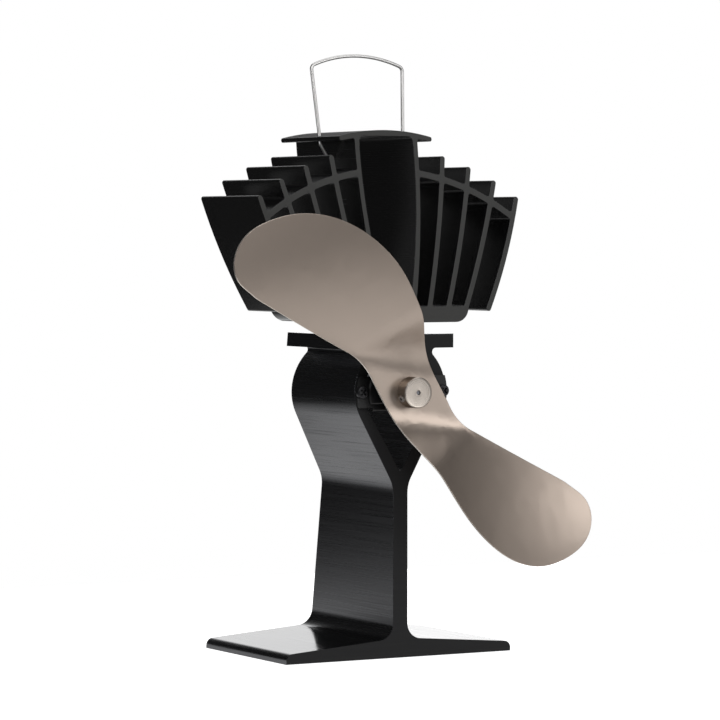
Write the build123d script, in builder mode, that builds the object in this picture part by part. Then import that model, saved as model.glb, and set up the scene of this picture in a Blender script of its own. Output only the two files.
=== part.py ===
from build123d import *
import os
from math import atan2, cos, degrees, radians, sin, sqrt, tan

# A heat-powered fan that stands on a hot stove. Millimetres, X to the right, Y to the back, Z up.
# The origin is the middle of the foot's underside, and the blade faces the front.
os.makedirs("parts", exist_ok=True)

# The stand: one extrusion with a foot, a stem, a ring for the motor and a flat top plate.
foot_half_width = 56.1
foot_depth = 75.7
foot_edge_height = 4.3
foot_edge_rounding = 3.0
foot_crown_height = 8.5
stem_half_width = 3.65
stem_fillet = 7.0
neck_fillet = 14.0
neck_half_angle = 28.7
axis_height = 115.7
ring_outer_radius = 22.7
ring_bore_radius = 17.8
hollow_half_angle = 30.5
hollow_rounding = 0.8
plate_half_width = 26.75
plate_thickness = 6.1
plate_rise = 24.7
plate_fillet = 1.8

# Both extrusions are sawn on the slant, at this angle from upright.
saw_angle = 9.0

# The generating module between the stand and the heat sink.
module_width = 30.0
pad_thickness = 0.3
ceramic_thickness = 0.8
leg_height = 2.8
leg_width = 1.5
leg_rows = 10
solder_ledge = 1.5

# The heat sink: a block with curved fins, a hollow middle tower and an arched cap.
sink_depth = 53.5
block_half_width = 35.0
block_thickness = 6.9
block_rounding = 6.8
fin_thickness = 2.35
fin_root_depth = 2.0
fin_bend_height = 36.6
fin_fillet = 1.0
web_thickness = 2.8
web_rise = 64.8
web_middle_across = 38.4
web_middle_rise = 58.5
web_end_across = 61.3
web_end_rise = 45.9
tower_half_width_foot = 6.6
tower_half_width_bend = 12.1
tower_hole_gap = 6.5
channel_top = 81.0
channel_rounding = 2.4
cap_crown = 83.6
cap_hole_edge = 1.3
cap_edge_drop = 2.7
cap_edge_thickness = 1.6
groove_pitch = 1.05
groove_depth = 0.22
groove_width = 0.5

# Each fin on the right: half-widths at its root, its bend and its tip, and its height at the tip.
fins = {
    "inner": (14.9, 22.3, 27.8, 71.3),
    "second": (24.3, 33.9, 40.6, 66.7),
    "third": (33.2, 45.6, 53.0, 60.8),
    "outer": (45.3, 58.6, 63.9, 53.7),
}
outer_fin_foot_height = 5.8

# The wire handle through the cap.
handle_wire_radius = 0.75
handle_hole_half_spacing = 21.0
handle_spread = 2.0
handle_setback = 21.7
handle_lean = 7.2
handle_height = 36.1
handle_arch_radius = 57.0
handle_corner_radius = 2.4
handle_tail_bend = 2.0
handle_tail_drop = 1.6
handle_tail_length = 6.6
handle_tail_angle = 28.0
handle_clearance = 0.1

# The motor: a small flat-sided can with its bracket.
shaft_radius = 1.0
can_rounding = 1.0
rear_boss_length = 1.5
running_clearance = 0.03
fit_clearance = 0.03
motor_half_width = 10.2
motor_half_height = 7.7
motor_length = 25.0
can_wall = 0.8
boss_radius = 3.1
boss_length = 2.0
bushing_radius = 2.2
end_cap_thickness = 2.6
bracket_plate = 1.6
bracket_half_height = 6.75
bracket_inset = 0.3
bracket_pad_rise = 1.2
bracket_pad_half_width = 17.0
bracket_pad_half_height = 5.1
bracket_pad_bevel = 0.5
bracket_lip = 0.8
bracket_lip_bend = 1.3
bracket_lip_half_width = 14.6
bracket_lip_reach = 6.0
ear_screw_spacing = 40.5
ear_screw_radius = 1.25
ear_screw_depth = 8.0
ear_head_radius = 2.7
ear_head_height = 1.7
motor_screw_spacing = 12.0
motor_screw_radius = 1.0
motor_head_radius = 1.9
motor_head_height = 1.3
magnet_thickness = 2.4
magnet_half_angle = 40.0
air_gap = 0.45
core_length = 8.0
core_setback = 7.0
core_hub_radius = 2.6
core_arm_width = 2.2
core_shoe = 1.2
core_slot = 1.4
coil_thickness = 1.2
coil_end = 2.4
coil_reach = 4.7
commutator_radius = 2.4
commutator_length = 3.5
commutator_slot = 0.4
brush_width = 1.6
brush_length = 1.9
terminal_reach = 6.2
terminal_thickness = 0.5
terminal_width = 2.2
tab_length = 4.5
thrust_washer_radius = 1.9
thrust_washer_thickness = 0.4

# The hub and the blade.
blade_thickness = 1.0
blade_standoff = 8.5
hub_radius = 6.65
hub_length = 6.6
hub_edge_chamfer = 0.35
blade_seat_clearance = 0.08
hub_spigot_radius = 3.9
blade_washer_radius = 5.6
blade_washer_thickness = 1.0
shaft_recess = 0.5
set_screw_radius = 1.5
set_screw_angle = 203.0
set_screw_proud = 0.6
set_screw_setback = 3.6
set_screw_key = 1.3
blade_angle = 141.0
neck_start = (-17.4, 8.1)
shoulder = (32.0, 26.6)
lobe_back = [(48.0, 31.6), (62.0, 33.0), (78.7, 30.7), (94.0, 22.7), (103.8, 10.9)]
lobe_tip = [(107.9, -2.2), (106.5, -8.6), (102.9, -13.7), (98.7, -16.2), (93.9, -16.9), (88.0, -16.5)]
lobe_front = (82.4, -15.8)
front_edge_middle = (66.0, -12.4)
neck_corner = (36.0, -6.1)
neck_hollow = (28.2, -5.2)
grid_reach = 114.0
grid_half_width = 39.0
grid_columns = 49
grid_rows = 21

# How far the blade rises to the front. Each lobe slopes up from a line through the neck, and the
# slope grows from the neck outwards, between two rays from a place in front of the blade's edge.
fold_place = (40.0, -16.0)
fold_full_angle = 107.0
fold_start_angle = 149.3
fold_behind_angle = 210.0
fold_behind_full_angle = 330.0
fold_softness = 1.4
lobe_rise = 3.6
lobe_rise_per_length = 0.1
lobe_rise_reach = 34.0
tip_droop = 0.0015
tip_droop_reach = 70.0
lobe_slope = 0.627
lobe_slope_fall = 0.00604
lobe_slope_reach = 29.0

# The screws that clamp the heat sink to the stand, and the leads of the module.
clamp_reach = 20.6
clamp_screw_radius = 2.0
clamp_head_radius = 3.4
clamp_head_height = 3.6
clamp_screw_grip = 5.0
bush_wall = 0.9
bush_flange = 0.7
bush_flange_radius = 4.3
clamp_washer_thickness = 1.0
clamp_washer_radius = 3.7
clamp_key = 3.0
lead_radius = 0.6
lead_bend = 3.2
lead_drop = 4.0
lead_spacing = 2.6
lead_exit_across = 8.0
lead_exit_gap = 6.2
grommet_radius = 3.5
grommet_wall = 0.9
grommet_flange = 0.6
grommet_flange_radius = 4.4
grommet_length = 5.0

# Places that follow from the sizes.
slant = tan(radians(saw_angle))
plate_top = axis_height + plate_rise
tower_half_width_top = handle_hole_half_spacing - tower_hole_gap
cap_half_width = handle_hole_half_spacing + cap_hole_edge
handle_half_width = handle_hole_half_spacing + handle_spread
front_y = -foot_depth / 2
plate_bottom = plate_top - plate_thickness
plate_back_y = foot_depth / 2 - plate_top * slant
module_y = (front_y + plate_back_y) / 2
sink_bottom = plate_top + 2 * pad_thickness + 2 * ceramic_thickness + leg_height
block_top = sink_bottom + block_thickness
lead_exit_y = module_y + module_width / 2 + lead_exit_gap
motor_back_y = front_y + motor_length
blade_y = front_y - blade_standoff
hub_back_y = blade_y - blade_thickness / 2
hub_face_y = hub_back_y - hub_length


def corners(sketch, *places):
    # The corners of a sketch that lie nearest to the given places.
    return [sketch.vertices().sort_by_distance((place[0], place[1], 0))[0] for place in places]


def axis_plane(y):
    # A plane across the motor's axis that looks to the front.
    return Plane(origin=(0, y, axis_height), x_dir=(1, 0, 0), z_dir=(0, -1, 0))


def sharp_corners(sketch, least_turn=25):
    # The corners of a sketch where two edges meet at more than the least turn.
    found = []
    for corner in sketch.vertices():
        place = Vector(corner.X, corner.Y, corner.Z)
        meeting = [edge for edge in sketch.edges() if edge.distance_to(place) < 0.0005]
        if len(meeting) != 2:
            continue
        ways = []
        for edge in meeting:
            at_start = (edge @ 0 - place).length < (edge @ 1 - place).length
            ways.append(edge % 0 if at_start else (edge % 1) * -1)
        turn = 180 - ways[0].get_angle(ways[1])
        if turn > least_turn:
            found.append(corner)
    return found


# The stand.
neck_turn = radians(neck_half_angle)
hollow_turn = radians(hollow_half_angle)
neck_height = axis_height - ring_outer_radius / sin(neck_turn) + stem_half_width / tan(neck_turn)
ring_start = (ring_outer_radius * cos(neck_turn), axis_height - ring_outer_radius * sin(neck_turn))
ring_end = (sqrt(ring_outer_radius**2 - (plate_bottom - axis_height) ** 2), plate_bottom)
bore_start = (ring_bore_radius * cos(hollow_turn), axis_height - ring_bore_radius * sin(hollow_turn))
hollow_foot = (0, axis_height - ring_bore_radius / sin(hollow_turn))

with BuildPart() as base_stand:
    with BuildSketch(Plane.XZ) as stand_profile:
        with BuildLine():
            Polyline(
                (0, 0),
                (foot_half_width, 0),
                (foot_half_width, foot_edge_height),
                (stem_half_width, foot_crown_height),
                (stem_half_width, neck_height),
                ring_start,
            )
            ThreePointArc(ring_start, (ring_outer_radius, axis_height), ring_end)
            Polyline(ring_end, (plate_half_width, plate_bottom), (plate_half_width, plate_top), (0, plate_top))
            mirror(about=Plane.YZ)
        make_face()
        for side in (-1, 1):
            rim = corners(stand_profile, (side * foot_half_width, foot_edge_height))
            fillet(rim, radius=foot_edge_rounding)
            heel = corners(stand_profile, (side * stem_half_width, foot_crown_height))
            fillet(heel, radius=stem_fillet)
            neck = corners(stand_profile, (side * stem_half_width, neck_height))
            fillet(neck, radius=neck_fillet)
            shoulder_corner = corners(stand_profile, (side * ring_end[0], plate_bottom))
            fillet(shoulder_corner, radius=plate_fillet)
    extrude(amount=foot_depth / 2, both=True)
    with BuildSketch(Plane.XZ) as hollow_profile:
        with BuildLine():
            Line(hollow_foot, bore_start)
            ThreePointArc(bore_start, (0, axis_height + ring_bore_radius), (-bore_start[0], bore_start[1]))
            Line((-bore_start[0], bore_start[1]), hollow_foot)
        make_face()
        fillet(corners(hollow_profile, hollow_foot), radius=hollow_rounding)
    extrude(amount=foot_depth, both=True, mode=Mode.SUBTRACT)
    split(bisect_by=Plane(origin=(0, foot_depth / 2, 0), z_dir=(0, 1, slant)), keep=Keep.BOTTOM)
    for side in (-1, 1):
        with Locations(axis_plane(front_y) * Location((side * ear_screw_spacing / 2, 0, 0))):
            Hole(radius=ear_screw_radius + fit_clearance, depth=ear_screw_depth)
        with Locations((0, module_y + side * clamp_reach, plate_top)):
            Hole(radius=clamp_screw_radius + fit_clearance, depth=clamp_screw_grip + fit_clearance)
    with Locations((lead_exit_across, lead_exit_y, plate_top)):
        Hole(radius=grommet_radius + fit_clearance, depth=plate_top - axis_height)
base_stand.part.label = "base_stand"
export_step(base_stand.part, "parts/base_stand.step")

# The heat sink. Its profile is drawn from the block's underside upwards.
sink_profile_plane = Plane(origin=(0, 0, sink_bottom), x_dir=(1, 0, 0), z_dir=(0, -1, 0))
half_wall = fin_thickness / 2
web_start_across = tower_half_width_top + half_wall / 2
cap_edge = cap_crown - cap_edge_drop

# The wire handle lies in one plane that leans back, and its free ends spring inward under the cap.
lean = radians(handle_lean)
handle_foot = (0, front_y + cap_edge * slant + handle_setback, sink_bottom + cap_edge)
handle_plane = Plane(origin=handle_foot, x_dir=(1, 0, 0), z_dir=(0, -cos(lean), sin(lean)))
arch_rise = handle_arch_radius - sqrt(handle_arch_radius**2 - handle_half_width**2)
corner_height = handle_height - arch_rise
leg_slope = (handle_half_width - handle_hole_half_spacing) / corner_height
tail_top = -cap_edge_thickness - handle_tail_drop
tail_start = handle_hole_half_spacing + tail_top * leg_slope
tail_end = tail_start - handle_tail_length * sin(radians(handle_tail_angle))
tail_bottom = tail_top - handle_tail_length * cos(radians(handle_tail_angle))

with BuildPart() as heat_sink:
    with BuildSketch(sink_profile_plane) as sink_profile:
        with Locations((0, block_thickness / 2)):
            Rectangle(2 * block_half_width, block_thickness)
        block_feet = corners(sink_profile, (-block_half_width, 0), (block_half_width, 0))
        fillet(block_feet, radius=block_rounding)
        for side in (-1, 1):
            for name, (root, bend, tip, tip_height) in fins.items():
                fin_foot = block_thickness - fin_root_depth
                if name == "outer":
                    fin_foot = outer_fin_foot_height
                with BuildLine(mode=Mode.PRIVATE) as fin_middle:
                    ThreePointArc(
                        (side * root, fin_foot),
                        (side * bend, fin_bend_height),
                        (side * tip, tip_height),
                    )
                SlotArc(fin_middle.edge(), fin_thickness)
            with BuildLine(mode=Mode.PRIVATE) as web_middle:
                ThreePointArc(
                    (side * web_start_across, web_rise),
                    (side * web_middle_across, web_middle_rise),
                    (side * web_end_across, web_end_rise),
                )
            SlotArc(web_middle.edge(), web_thickness)
        with BuildLine():
            tower_side = ThreePointArc(
                (tower_half_width_foot + half_wall, block_thickness / 2),
                (tower_half_width_bend + half_wall, fin_bend_height),
                (tower_half_width_top + half_wall, channel_top),
            )
            Line(tower_side @ 1, (0, channel_top))
            Line(tower_side @ 0, (0, block_thickness / 2))
            mirror(about=Plane.YZ)
        make_face()
        cap_tip_radius = cap_edge_thickness / 2
        with BuildLine():
            ThreePointArc((-cap_half_width, cap_edge), (0, cap_crown), (cap_half_width, cap_edge))
            ThreePointArc(
                (cap_half_width, cap_edge),
                (cap_half_width + cap_tip_radius, cap_edge - cap_tip_radius),
                (cap_half_width, cap_edge - cap_edge_thickness),
            )
            Line((cap_half_width, cap_edge - cap_edge_thickness), (-cap_half_width, cap_edge - cap_edge_thickness))
            ThreePointArc(
                (-cap_half_width, cap_edge - cap_edge_thickness),
                (-cap_half_width - cap_tip_radius, cap_edge - cap_tip_radius),
                (-cap_half_width, cap_edge),
            )
        make_face()
        with BuildLine():
            channel_wall = ThreePointArc(
                (tower_half_width_foot - half_wall, block_thickness),
                (tower_half_width_bend - half_wall, fin_bend_height),
                (tower_half_width_top - half_wall, channel_top),
            )
            Line(channel_wall @ 1, (0, channel_top))
            Line(channel_wall @ 0, (0, block_thickness))
            mirror(about=Plane.YZ)
        make_face(mode=Mode.SUBTRACT)
        channel_end = channel_wall @ 1
        channel_ends = corners(sink_profile, (-channel_end.X, channel_end.Y), (channel_end.X, channel_end.Y))
        fillet(channel_ends, radius=channel_rounding)
        fillet(sharp_corners(sink_profile), radius=fin_fillet)
        groove_count = int(channel_wall.length * 0.9 / groove_pitch)
        groove_places = []
        for step in range(groove_count):
            place = channel_wall @ (0.05 + step * groove_pitch / channel_wall.length)
            groove_places += [(place.X, place.Y), (-place.X, place.Y)]
        with Locations(*groove_places):
            Rectangle(2 * groove_depth, groove_width, mode=Mode.SUBTRACT)
    extrude(amount=foot_depth, both=True)
    split(bisect_by=Plane(origin=(0, front_y, sink_bottom), z_dir=(0, -1, slant)), keep=Keep.BOTTOM)
    split(bisect_by=Plane(origin=(0, front_y + sink_depth, sink_bottom), z_dir=(0, 1, -slant)), keep=Keep.BOTTOM)
    for side in (-1, 1):
        with Locations((0, module_y + side * clamp_reach, block_top)):
            Hole(radius=clamp_screw_radius + bush_wall + 2 * fit_clearance, depth=block_thickness)
    for side in (-1, 1):
        leg_foot = handle_plane.from_local_coords(Vector(side * handle_hole_half_spacing, 0, 0))
        leg_top = handle_plane.from_local_coords(Vector(side * handle_half_width, corner_height, 0))
        with Locations(Plane(origin=leg_foot, z_dir=leg_top - leg_foot)):
            Cylinder(handle_wire_radius + handle_clearance, 4 * cap_edge_thickness, mode=Mode.SUBTRACT)
heat_sink.part.label = "heat_sink"
export_step(heat_sink.part, "parts/heat_sink.step")

# The wire handle, bent from one piece of wire.
with BuildPart() as wire_handle:
    with BuildLine(handle_plane) as handle_path:
        Polyline((-tail_end, tail_bottom), (-tail_start, tail_top), (-handle_half_width, corner_height))
        ThreePointArc(
            (-handle_half_width, corner_height), (0, handle_height), (handle_half_width, corner_height)
        )
        Polyline((handle_half_width, corner_height), (tail_start, tail_top), (tail_end, tail_bottom))
        fillet(handle_path.vertices().sort_by(Axis.Z)[-2:], radius=handle_corner_radius)
        fillet(handle_path.vertices().sort_by(Axis.Z)[2:4], radius=handle_tail_bend)
    handle_wire = handle_path.wire()
    with BuildSketch(Plane(origin=handle_wire @ 0, z_dir=handle_wire % 0)):
        Circle(handle_wire_radius)
    sweep(path=handle_wire)
    fillet(wire_handle.edges().filter_by(GeomType.CIRCLE).sort_by(Axis.Z)[:2], radius=handle_wire_radius / 2)
wire_handle.part.label = "wire_handle"
export_step(wire_handle.part, "parts/wire_handle.step")

# The thermoelectric module, from the stand upwards.
hot_ceramic_bottom = plate_top + pad_thickness
legs_bottom = hot_ceramic_bottom + ceramic_thickness
cold_ceramic_bottom = legs_bottom + leg_height
upper_pad_bottom = cold_ceramic_bottom + ceramic_thickness

with BuildPart() as lower_pad:
    with BuildSketch(Plane.XY.offset(plate_top)):
        with Locations((0, module_y + solder_ledge / 2)):
            Rectangle(module_width, module_width + solder_ledge)
    extrude(amount=pad_thickness)
lower_pad.part.label = "lower_pad"
export_step(lower_pad.part, "parts/lower_pad.step")

with BuildPart() as hot_ceramic:
    with BuildSketch(Plane.XY.offset(hot_ceramic_bottom)):
        with Locations((0, module_y + solder_ledge / 2)):
            Rectangle(module_width, module_width + solder_ledge)
    extrude(amount=ceramic_thickness)
hot_ceramic.part.label = "hot_ceramic"
export_step(hot_ceramic.part, "parts/hot_ceramic.step")

leg_pitch = (module_width - leg_width) / (leg_rows - 1) - 0.1
with BuildPart() as semiconductor_legs:
    with BuildSketch(Plane.XY.offset(legs_bottom)):
        with Locations((0, module_y)):
            with GridLocations(leg_pitch, leg_pitch, leg_rows, leg_rows):
                Rectangle(leg_width, leg_width)
    extrude(amount=leg_height)
semiconductor_legs.part.label = "semiconductor_legs"
export_step(semiconductor_legs.part, "parts/semiconductor_legs.step")

with BuildPart() as cold_ceramic:
    with BuildSketch(Plane.XY.offset(cold_ceramic_bottom)):
        with Locations((0, module_y)):
            Rectangle(module_width, module_width)
    extrude(amount=ceramic_thickness)
cold_ceramic.part.label = "cold_ceramic"
export_step(cold_ceramic.part, "parts/cold_ceramic.step")

with BuildPart() as upper_pad:
    with BuildSketch(Plane.XY.offset(upper_pad_bottom)):
        with Locations((0, module_y)):
            Rectangle(module_width, module_width)
    extrude(amount=pad_thickness)
upper_pad.part.label = "upper_pad"
export_step(upper_pad.part, "parts/upper_pad.step")

# The clamp: two screws from the block down into the plate, each in an insulating bush.
bush_top = block_top + bush_flange
washer_top = bush_top + clamp_washer_thickness
clamp_ys = (module_y - clamp_reach, module_y + clamp_reach)

with BuildPart() as clamp_bushes:
    for y in clamp_ys:
        with BuildSketch(Plane.XY.offset(block_top)):
            with Locations((0, y)):
                Circle(bush_flange_radius)
        extrude(amount=bush_flange)
        with BuildSketch(Plane.XY.offset(block_top)):
            with Locations((0, y)):
                Circle(clamp_screw_radius + fit_clearance + bush_wall)
        extrude(amount=-block_thickness)
        with Locations((0, y, bush_top)):
            Hole(radius=clamp_screw_radius + fit_clearance, depth=block_thickness + bush_flange)
clamp_bushes.part.label = "clamp_bushes"
export_step(clamp_bushes.part, "parts/clamp_bushes.step")

with BuildPart() as clamp_washers:
    for y in clamp_ys:
        with BuildSketch(Plane.XY.offset(bush_top)):
            with Locations((0, y)):
                Circle(clamp_washer_radius)
                Circle(clamp_screw_radius + 2 * fit_clearance, mode=Mode.SUBTRACT)
            with Locations((clamp_washer_radius, y)):
                Rectangle(clamp_washer_radius, clamp_washer_thickness / 2, mode=Mode.SUBTRACT)
        extrude(amount=clamp_washer_thickness)
clamp_washers.part.label = "clamp_washers"
export_step(clamp_washers.part, "parts/clamp_washers.step")

with BuildPart() as clamp_screws:
    for y in clamp_ys:
        with BuildSketch(Plane.XY.offset(washer_top)):
            with Locations((0, y)):
                Circle(clamp_head_radius)
        extrude(amount=clamp_head_height)
    chamfer(clamp_screws.faces().sort_by(Axis.Z)[-2:].edges(), length=clamp_head_radius / 8)
    for y in clamp_ys:
        with BuildSketch(Plane.XY.offset(washer_top + clamp_head_height)):
            with Locations((0, y)):
                RegularPolygon(clamp_key / 2, 6, major_radius=False)
        extrude(amount=-clamp_head_height / 2, mode=Mode.SUBTRACT)
        with BuildSketch(Plane.XY.offset(plate_top - clamp_screw_grip)):
            with Locations((0, y)):
                Circle(clamp_screw_radius)
        extrude(amount=washer_top - plate_top + clamp_screw_grip)
clamp_screws.part.label = "clamp_screws"
export_step(clamp_screws.part, "parts/clamp_screws.step")

# The motor can: a drawn cup with flat sides, a bushing boss in front and an open back.
with BuildPart() as motor_can:
    with BuildSketch(axis_plane(front_y)) as can_outline:
        Circle(motor_half_width)
        Rectangle(2 * motor_half_width, 2 * motor_half_height, mode=Mode.INTERSECT)
        fillet(can_outline.vertices(), radius=can_rounding)
    extrude(amount=-motor_length)
    fillet(motor_can.faces().sort_by(Axis.Y)[0].edges(), radius=can_rounding)
    with BuildSketch(axis_plane(front_y + can_wall)) as can_hollow:
        Circle(motor_half_width - can_wall)
        Rectangle(2 * motor_half_width, 2 * (motor_half_height - can_wall), mode=Mode.INTERSECT)
    extrude(amount=-motor_length, mode=Mode.SUBTRACT)
    with BuildSketch(axis_plane(front_y + can_wall)):
        Circle(boss_radius)
    extrude(amount=boss_length + can_wall)
    with Locations(axis_plane(front_y - boss_length)):
        Hole(radius=bushing_radius, depth=boss_length + can_wall)
    for side in (-1, 1):
        with Locations(axis_plane(front_y) * Location((side * motor_screw_spacing / 2, 0, 0))):
            Hole(radius=motor_screw_radius + fit_clearance, depth=can_wall)
motor_can.part.label = "motor_can"
export_step(motor_can.part, "parts/motor_can.step")

with BuildPart() as front_bushing:
    with BuildSketch(axis_plane(front_y + can_wall)):
        Circle(bushing_radius - fit_clearance)
        Circle(shaft_radius + running_clearance, mode=Mode.SUBTRACT)
    extrude(amount=boss_length + can_wall)
front_bushing.part.label = "front_bushing"
export_step(front_bushing.part, "parts/front_bushing.step")

# The end cap carries the rear bushing and the two terminals.
cap_front_y = motor_back_y - end_cap_thickness
with BuildPart() as motor_end_cap:
    with BuildSketch(axis_plane(motor_back_y)):
        Circle(motor_half_width - can_wall - fit_clearance)
        cap_height = 2 * (motor_half_height - can_wall - fit_clearance)
        Rectangle(2 * motor_half_width, cap_height, mode=Mode.INTERSECT)
    extrude(amount=end_cap_thickness)
    with BuildSketch(axis_plane(motor_back_y)):
        Circle(boss_radius)
    extrude(amount=-rear_boss_length)
    with Locations(axis_plane(cap_front_y)):
        Cylinder(bushing_radius, 4 * end_cap_thickness, mode=Mode.SUBTRACT)
    for side in (-1, 1):
        with Locations(axis_plane(cap_front_y) * Location((side * terminal_reach, 0, 0))):
            slot_width = terminal_thickness + 2 * fit_clearance
            slot_height = terminal_width + 2 * fit_clearance
            Box(slot_width, slot_height, 4 * end_cap_thickness, mode=Mode.SUBTRACT)
motor_end_cap.part.label = "motor_end_cap"
export_step(motor_end_cap.part, "parts/motor_end_cap.step")

with BuildPart() as rear_bushing:
    with BuildSketch(axis_plane(motor_back_y + rear_boss_length)):
        Circle(bushing_radius - fit_clearance)
        Circle(shaft_radius + running_clearance, mode=Mode.SUBTRACT)
    extrude(amount=rear_boss_length + end_cap_thickness)
rear_bushing.part.label = "rear_bushing"
export_step(rear_bushing.part, "parts/rear_bushing.step")

# Inside the motor: magnets, a core with three arms, its coils, the commutator and the brushes.
core_front_y = front_y + core_setback
core_back_y = core_front_y + core_length
core_middle_y = (core_front_y + core_back_y) / 2
magnet_outer_radius = motor_half_width - can_wall - fit_clearance
magnet_inner_radius = magnet_outer_radius - magnet_thickness
core_radius = magnet_inner_radius - air_gap
commutator_front_y = core_back_y + coil_end + fit_clearance
brush_y = commutator_front_y + commutator_length / 2

with BuildPart() as field_magnets:
    with BuildSketch(axis_plane(core_middle_y)):
        Circle(magnet_outer_radius)
        Circle(magnet_inner_radius, mode=Mode.SUBTRACT)
        magnet_height = 2 * magnet_outer_radius * sin(radians(magnet_half_angle))
        Rectangle(2 * magnet_outer_radius, magnet_height, mode=Mode.INTERSECT)
    extrude(amount=core_length / 2 + coil_end, both=True)
field_magnets.part.label = "field_magnets"
export_step(field_magnets.part, "parts/field_magnets.step")

with BuildPart() as armature_core:
    with BuildSketch(axis_plane(core_middle_y)):
        Circle(core_radius)
        Circle(core_radius - core_shoe, mode=Mode.SUBTRACT)
        with PolarLocations(0, 3, start_angle=30):
            Rectangle(2 * core_radius, core_slot, align=(Align.MIN, Align.CENTER), mode=Mode.SUBTRACT)
        Circle(core_hub_radius)
        with PolarLocations(0, 3, start_angle=90):
            Rectangle(core_radius - core_shoe / 2, core_arm_width, align=(Align.MIN, Align.CENTER))
        Circle(shaft_radius + fit_clearance, mode=Mode.SUBTRACT)
    extrude(amount=core_length / 2, both=True)
armature_core.part.label = "armature_core"
export_step(armature_core.part, "parts/armature_core.step")

coil_foot = core_hub_radius + 3 * fit_clearance
with BuildPart() as armature_windings:
    with Locations(axis_plane(core_middle_y)):
        with PolarLocations((coil_foot + coil_reach) / 2, 3, start_angle=90):
            coil_width = core_arm_width + 2 * coil_thickness
            Box(coil_reach - coil_foot, coil_width, core_length + 2 * coil_end)
            slot_width = core_arm_width + 2 * fit_clearance
            Box(coil_reach, slot_width, core_length + 2 * fit_clearance, mode=Mode.SUBTRACT)
armature_windings.part.label = "armature_windings"
export_step(armature_windings.part, "parts/armature_windings.step")

with BuildPart() as commutator:
    with BuildSketch(axis_plane(commutator_front_y)):
        Circle(commutator_radius)
        Circle(shaft_radius + fit_clearance, mode=Mode.SUBTRACT)
    extrude(amount=-commutator_length)
    with BuildSketch(axis_plane(commutator_front_y + commutator_slot)):
        with PolarLocations(commutator_radius, 3, start_angle=90):
            Rectangle(2 * commutator_slot, commutator_slot)
    extrude(amount=-commutator_length, mode=Mode.SUBTRACT)
commutator.part.label = "commutator"
export_step(commutator.part, "parts/commutator.step")

with BuildPart() as carbon_brushes:
    for side in (-1, 1):
        brush_middle = commutator_radius + fit_clearance + brush_length / 2
        with Locations(axis_plane(brush_y) * Location((side * brush_middle, 0, 0))):
            Box(brush_length, brush_width, brush_width)
carbon_brushes.part.label = "carbon_brushes"
export_step(carbon_brushes.part, "parts/carbon_brushes.step")

# Each terminal is a strip through the end cap with an arm that presses its brush inward.
terminal_end_y = motor_back_y + tab_length
terminal_front_y = brush_y - terminal_thickness / 2
arm_start = commutator_radius + 2 * fit_clearance + brush_length
with BuildPart() as motor_terminals:
    for side in (-1, 1):
        strip_middle_y = (terminal_front_y + terminal_end_y) / 2
        with Locations(axis_plane(strip_middle_y) * Location((side * terminal_reach, 0, 0))):
            Box(terminal_thickness, terminal_width, terminal_end_y - terminal_front_y)
        arm_length = terminal_reach - arm_start
        with Locations(axis_plane(brush_y) * Location((side * (arm_start + arm_length / 2), 0, 0))):
            Box(arm_length, terminal_width, terminal_thickness)
motor_terminals.part.label = "motor_terminals"
export_step(motor_terminals.part, "parts/motor_terminals.step")

# The rotor's shaft and what it carries inside the motor.
shaft_front_y = hub_face_y + shaft_recess
shaft_back_y = motor_back_y + rear_boss_length - shaft_recess
with BuildPart() as motor_shaft:
    with BuildSketch(axis_plane(shaft_back_y)):
        Circle(shaft_radius)
    extrude(amount=shaft_back_y - shaft_front_y)
    chamfer(motor_shaft.edges().filter_by(GeomType.CIRCLE), length=shaft_radius / 5)
motor_shaft.part.label = "motor_shaft"
export_step(motor_shaft.part, "parts/motor_shaft.step")

with BuildPart() as thrust_washers:
    front_washer_y = front_y + can_wall + 2 * running_clearance + thrust_washer_thickness
    rear_washer_y = cap_front_y - 2 * running_clearance
    for y in (front_washer_y, rear_washer_y):
        with BuildSketch(axis_plane(y)):
            Circle(thrust_washer_radius)
            Circle(shaft_radius + fit_clearance, mode=Mode.SUBTRACT)
        extrude(amount=thrust_washer_thickness)
thrust_washers.part.label = "thrust_washers"
export_step(thrust_washers.part, "parts/thrust_washers.step")

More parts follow.
